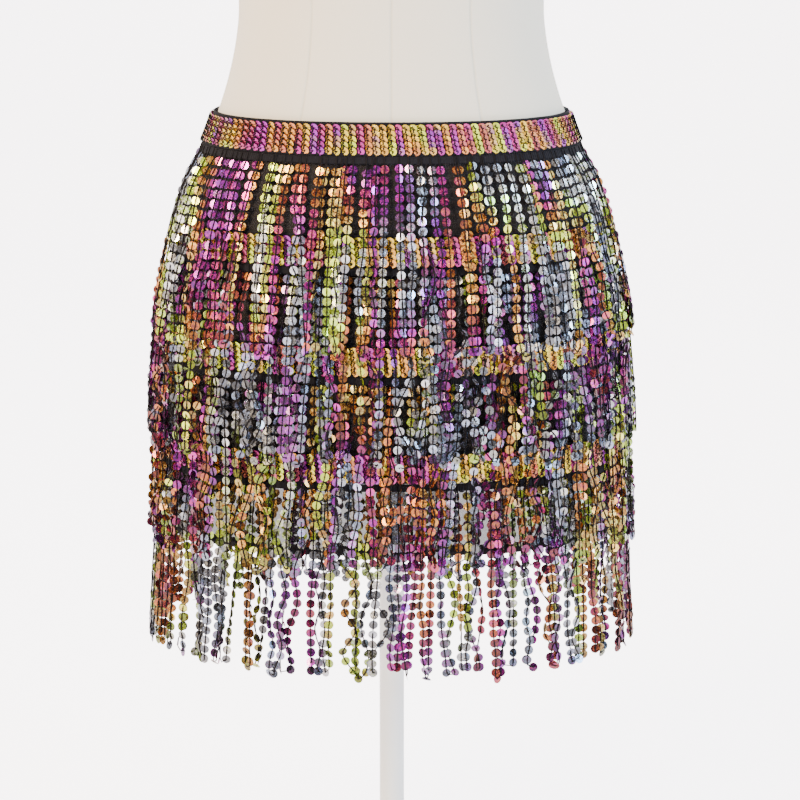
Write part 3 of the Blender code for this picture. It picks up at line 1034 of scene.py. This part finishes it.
class Strands:
    """One tier's strands: pairs of strands that are joined in a loop at their ends."""

    def __init__(self, context, figure, tier):
        fringe, sequins = context.scene.skirt_fringe, context.scene.skirt_sequin
        self.figure = figure
        self.pitch = sequins.pitch
        low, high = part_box(f"fringe_{tier}")
        self.root = high.z - ROOT_STRIP
        self.free_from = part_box("lining_front")[0].z + FREE_MARGIN
        self.rng = rng = np.random.default_rng(fringe.seed * 10 + tier)
        count = strand_count(figure, tier, fringe.spacing)
        self.girth = figure.girth(self.root, STRAND_OFF)
        self.pairs = pairs = count // 2
        both = (pairs, 2)
        self.length = self.root - low.z - rng.random(pairs) * SHORTER
        stray = rng.normal(0, PAIR_JITTER * fringe.jitter, pairs) / self.girth
        self.middle = (np.arange(pairs) + 0.5) / pairs + stray
        self.look = look = TIERS[tier]
        self.spread = look.pair * self.girth / count + rng.normal(0, fringe.jitter, pairs)
        self.end_spread = rng.uniform(*LOOP_WIDTHS, pairs)
        near = drift(rng, np.arange(pairs) * 1.0, np.zeros(pairs), BUNCH_RUN, 1.0)
        self.bunch = look.stray * fringe.bunching * (2 * near - 1)
        self.lean = look.stray * rng.laplace(0, LEAN, pairs)
        self.wave_size = look.stray * fringe.wander * rng.gamma(1.0, 1.0, both)
        self.wave_length = rng.uniform(*WAVE_LENGTHS, both)
        self.wave_start = rng.uniform(0, 2 * math.pi, both)
        self.layer = look.layers * fringe.layering * rng.random(both)
        self.kick = look.stray * rng.gamma(*KICK, (pairs, 1))
        self.side_turn = rng.uniform(SIDE_TURN, 1.0, (pairs, 1))
        self.turn_size = look.twist * fringe.twist * rng.laplace(0, TURN_SPREAD, both)
        self.turn_length = rng.uniform(*TURN_LENGTHS, both)
        self.turn_start = rng.uniform(0, 2 * math.pi, both)

    def along(self, run):
        """Depth below the root and side (-1 to 1) at lengths run along each pair's loop."""
        radius = self.end_spread[:, None] / 2
        leg = self.length[:, None] - radius
        bend = np.clip((run - leg) / radius, 0, math.pi)
        back = run > leg + math.pi * radius
        depth = np.where(back, 2 * leg + math.pi * radius - run, np.minimum(run, leg))
        depth = np.where((run > leg) & ~back, leg + radius * np.sin(bend), depth)
        return depth, -np.cos(bend)

    def total(self):
        """The length of each pair's loop."""
        radius = self.end_spread / 2
        return 2 * (self.length - radius) + math.pi * radius

    def of_side(self, values, side):
        """Values of the two strands of each pair, blended through the loop between them."""
        share = 0.5 + 0.5 * side
        return values[:, :1] * (1 - share) + values[:, 1:] * share

    def place(self, run):
        """Points and outward normals at lengths run along the loops, with depth and side."""
        depth, side = self.along(run)
        reach = depth / self.length[:, None]
        late = ease((reach - CLOSE_FROM) / CLOSE_OVER)
        spread = self.spread[:, None] * (1 - late) + self.end_spread[:, None] * late
        sway = self.bunch[:, None] * ease(reach * BUNCH_SOON) + self.lean[:, None] * depth
        turns = 2 * np.pi * depth / self.of_side(self.wave_length, side)
        wave = np.sin(turns + self.of_side(self.wave_start, side))
        wave = wave * self.of_side(self.wave_size, side) * ease(depth / WAVE_FROM)
        across = (sway + 0.5 * side * spread + wave) / self.girth
        below = np.maximum(depth, 0.0)
        lift = STRAND_LIFT * (1 - np.exp(-below / STRAND_LIFT_REACH))
        layer = self.of_side(self.layer, side) * ease(depth / LAYER_FROM)
        kick = self.kick * ease(reach) ** 2
        out = STRAND_OFF + lift + STRAND_FLARE * below + layer + kick
        share = self.middle[:, None] + across
        points, normals = self.figure.at(share, self.root - depth, out)
        return points, normals, depth, side

    def turned(self, run, unevenness):
        """Points, directions along the thread and the ways that sequins face there."""
        points, normals, depth, side = self.place(run)
        ahead = self.place(run + AHEAD)[0]
        along = unit(ahead - points)
        sideways = normals[..., 0] * self.side_turn
        turned = np.stack([sideways, normals[..., 1], normals[..., 2]], axis=-1)
        across = unit(np.cross(along, turned))
        facing = np.cross(across, along)
        reach = depth / self.length[:, None]
        turns = 2 * np.pi * depth / self.of_side(self.turn_length, side)
        yaw = np.sin(turns + self.of_side(self.turn_start, side))
        yaw = yaw * self.of_side(self.turn_size, side)
        calm = self.look.root_twist
        yaw = yaw * (calm + (1 - calm) * ease(reach * TURN_SOON)) + unevenness
        facing = np.cos(yaw)[..., None] * facing + np.sin(yaw)[..., None] * across
        return points, along, facing, depth, side

    def sequin_runs(self):
        """Lengths along each loop where sequins sit, and which of them the loop has room for."""
        leg = self.length[:, None] - self.end_spread[:, None] / 2
        rows = int(self.length.max() / self.pitch) + 1
        down = (np.arange(rows) + 0.5) * self.pitch + np.zeros((self.pairs, 1))
        slip = self.rng.normal(0, ROW_SLIP, (self.pairs, 1))
        down = down * (1 + self.rng.normal(0, PITCH_NOISE, (self.pairs, 1))) + slip
        on_leg = down < leg
        last = np.where(on_leg, down, 0.0).max(axis=1, keepdims=True)
        rest = self.total()[:, None] - 2 * last
        count = np.maximum(np.round(rest / self.pitch) - 1, 0)
        index = np.arange(1, LOOP_SEQUINS + 1)
        bottom = last + rest * index / (count + 1)
        runs = np.hstack([down, self.total()[:, None] - down, bottom])
        return runs, np.hstack([on_leg, on_leg, index <= count])

    def sequins(self):
        """The places of the sequins, with their sizes and the looks of their foil, painted
        highlights and painted shade among them.
        """
        rng = self.rng
        run, kept = self.sequin_runs()
        shape = run.shape
        points, along, facing, depth, side = self.turned(run, rng.normal(0, YAW_NOISE, shape))
        reach = depth / self.length[:, None]
        tilt = rng.normal(0, TILT_NOISE, shape) * (1 + TILT_GROWTH * reach)
        facing = unit(facing + np.tan(tilt)[..., None] * along)
        strand = 2.0 * np.arange(self.pairs)[:, None] + (side > 0)
        phase = self.look.colour + COLOUR_RANGE * drift(rng, strand, depth, *COLOUR_RUN)
        phase = phase + rng.normal(0, COLOUR_NOISE, shape)
        # Painted highlights: a few sequins are painted much brighter, as if they caught the light
        shine = SHINE * rng.random(shape) ** SHINE_BIAS
        layer = self.of_side(self.layer, side) / self.layer.max()
        free = ease((self.free_from - self.root + depth) / FREE_REACH)
        # Painted shade: the tier's painted light and shade, darker on strands that lie under others
        # and towards the strands' ends
        shade = self.look.shade * (1 - LAYER_PAINTED_SHADE + LAYER_PAINTED_SHADE * layer)
        shade = shade * (1 - DEPTH_PAINTED_SHADE * ease(reach))
        size = (1 + FREE_GROWTH * free)[kept] * rng.normal(1.0, SIZE_NOISE, kept.sum())
        values = {
            "points": points,
            "facing": facing,
            "along": along,
            "phase": phase,
            "shine": shine,
            "shade": shade,
        }
        return {"size": size, **{key: value[kept] for key, value in values.items()}}

    def threads(self):
        """The chain-stitched thread of each loop, running over its sequins."""
        step, lead = self.pitch / 2, THREAD_LEAD * ROOT_STRIP
        steps = int((self.total().max() + 2 * lead) / step) + 2
        run = np.minimum(np.arange(steps) * step - lead, self.total()[:, None] + lead)
        points, _, facing, _, _ = self.turned(run, 0.0)
        points = points + THREAD_OVER * facing
        counts = ((self.total() + 2 * lead) / step).astype(int) + 2
        return [line[: min(n, steps)] for line, n in zip(points, counts)]


class SKIRT_OT_fringes(bpy.types.Operator):
    """Adds the root strips, the strands of sequins and their threads"""

    bl_idname = "hip_skirt.fringes"
    bl_label = "Add fringes"

    def execute(self, context):
        figure = Figure()
        settings = context.scene.skirt_sequin
        sequin = sequin_shape(settings.radius, settings.fold, settings.sides)
        for tier in TIERS:
            strands = Strands(context, figure, tier)
            self.add_strip(figure, tier)
            made = add_sequins(f"sequins_{tier}", strands.sequins(), strand_foil(), sequin)
            finish_piece(made, [f"fringe_{tier}"])
            thread = (context.scene.skirt_fringe.thread, THREAD_SIDES, black_thread())
            made = add_threads(f"threads_{tier}", strands.threads(), *thread)
            finish_piece(made)
        bpy.data.objects.remove(sequin)
        return {"FINISHED"}

    @staticmethod
    def add_strip(figure, tier):
        """The black strip that the strands hang from."""
        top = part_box(f"fringe_{tier}")[1].z
        shares = np.arange(TAPE_COLUMNS) / TAPE_COLUMNS
        heights = np.linspace(top, top - ROOT_STRIP, STRIP_ROWS)
        outs = np.full((STRIP_ROWS, 1), STRIP_OFF)
        cloth = (tape_knit(), TAPE_WALL)
        made = add_band(f"root_strip_{tier}", figure, shares, heights, outs, *cloth)
        finish_piece(made)


# The stage


class SKIRT_OT_stage(bpy.types.Operator):
    """Adds the floor, the camera and the lights"""

    bl_idname = "hip_skirt.stage"
    bl_label = "Add stage"

    def execute(self, context):
        self.add_sweep()
        self.add_camera(context)
        self.add_room(context)
        for name, look in LIGHTS.items():
            self.add_light(name, *look)
        return {"FINISHED"}

    @staticmethod
    def add_sweep():
        """A pale floor that curves up into a backdrop."""
        front, back, bend, height, half = -5.0, 2.6, 1.2, 5.0, 6.0
        turns = np.linspace(0, math.pi / 2, SWEEP_STEPS)
        line = [(front, 0.0)]
        line += [(back + bend * math.sin(t), bend * (1 - math.cos(t))) for t in turns]
        line += [(back + bend, height)]
        points = np.array([[(-half, y, z), (half, y, z)] for y, z in line])
        faces = [(2 * i, 2 * i + 1, 2 * i + 3, 2 * i + 2) for i in range(len(line) - 1)]
        paper, tree, shader = start_material(
            "pale_floor", PAPER, Roughness=0.9, Emission_Strength=1.0
        )
        glow = seen_colour(tree, linear(PAPER_GLOW), BACKGROUND)
        plug(tree, glow, shader.inputs["Emission Color"])
        add_mesh("floor", points, faces, paper)

    @staticmethod
    def add_camera(context):
        settings = context.scene.skirt_stage
        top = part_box("lining_front")[1].z
        data = bpy.data.cameras.new("camera")
        data.lens = settings.lens
        data.sensor_width = 36.0
        camera = add_object("camera", data)
        camera.location = (settings.side, -settings.distance, top + settings.rise)
        camera.rotation_euler = (math.pi / 2 - settings.pitch, 0.0, 0.0)
        context.scene.camera = camera

    @staticmethod
    def add_room(context):
        """The room's soft light, from a dim front to a bright back."""
        world = bpy.data.worlds.new("studio")
        world.use_nodes = True
        tree = world.node_tree
        way = tree.nodes.new("ShaderNodeTexCoord").outputs["Generated"]
        depth = map_range(tree, split_vector(tree, way)["Y"], *ROOM_DEPTH)
        room = ramp(tree, depth, [(0.0, ROOM_FRONT), (1.0, ROOM_BACK)])
        sky = tree.nodes["Background"]
        plug(tree, seen_colour(tree, room, BACKGROUND), sky.inputs["Color"])
        sky.inputs["Strength"].default_value = 1.0
        context.scene.world = world

    @staticmethod
    def add_light(name, place, size, power, colour, aim):
        data = bpy.data.lights.new(name, "AREA")
        data.size = size
        data.energy = power
        data.color = colour
        light = add_object(name, data)
        light.location = place
        light.rotation_euler = (Vector(aim) - light.location).to_track_quat("-Z", "Y").to_euler()


class SKIRT_PT_panel(bpy.types.Panel):
    """Settings and buttons for the hip skirt"""

    bl_label = "Hip skirt"
    bl_space_type = "VIEW_3D"
    bl_region_type = "UI"
    bl_category = "Hip skirt"

    def draw(self, context):
        for settings in SETTINGS:
            box = self.layout.box()
            group = getattr(context.scene, settings)
            for key in group.bl_rna.properties.keys():
                if key not in ("rna_type", "name"):
                    box.prop(group, key)
        for operator in OPERATORS:
            self.layout.operator(operator.bl_idname)


SETTINGS = {
    "skirt_sequin": SequinSettings,
    "skirt_fringe": FringeSettings,
    "skirt_header": HeaderSettings,
    "skirt_lining": LiningSettings,
    "skirt_stage": StageSettings,
}
OPERATORS = (
    SKIRT_OT_form,
    SKIRT_OT_stand,
    SKIRT_OT_lining,
    SKIRT_OT_headers,
    SKIRT_OT_fringes,
    SKIRT_OT_stage,
)


def register():
    for name, group in SETTINGS.items():
        bpy.utils.register_class(group)
        setattr(bpy.types.Scene, name, bpy.props.PointerProperty(type=group))
    for operator in OPERATORS:
        bpy.utils.register_class(operator)
    bpy.utils.register_class(SKIRT_PT_panel)


def unregister():
    bpy.utils.unregister_class(SKIRT_PT_panel)
    for operator in reversed(OPERATORS):
        bpy.utils.unregister_class(operator)
    for name, group in SETTINGS.items():
        delattr(bpy.types.Scene, name)
        bpy.utils.unregister_class(group)


def main():
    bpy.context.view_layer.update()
    register()
    bpy.ops.hip_skirt.form()
    bpy.ops.hip_skirt.stand()
    bpy.ops.hip_skirt.lining()
    bpy.ops.hip_skirt.headers()
    bpy.ops.hip_skirt.fringes()
    bpy.ops.hip_skirt.stage()


if __name__ == "__main__":
    main()
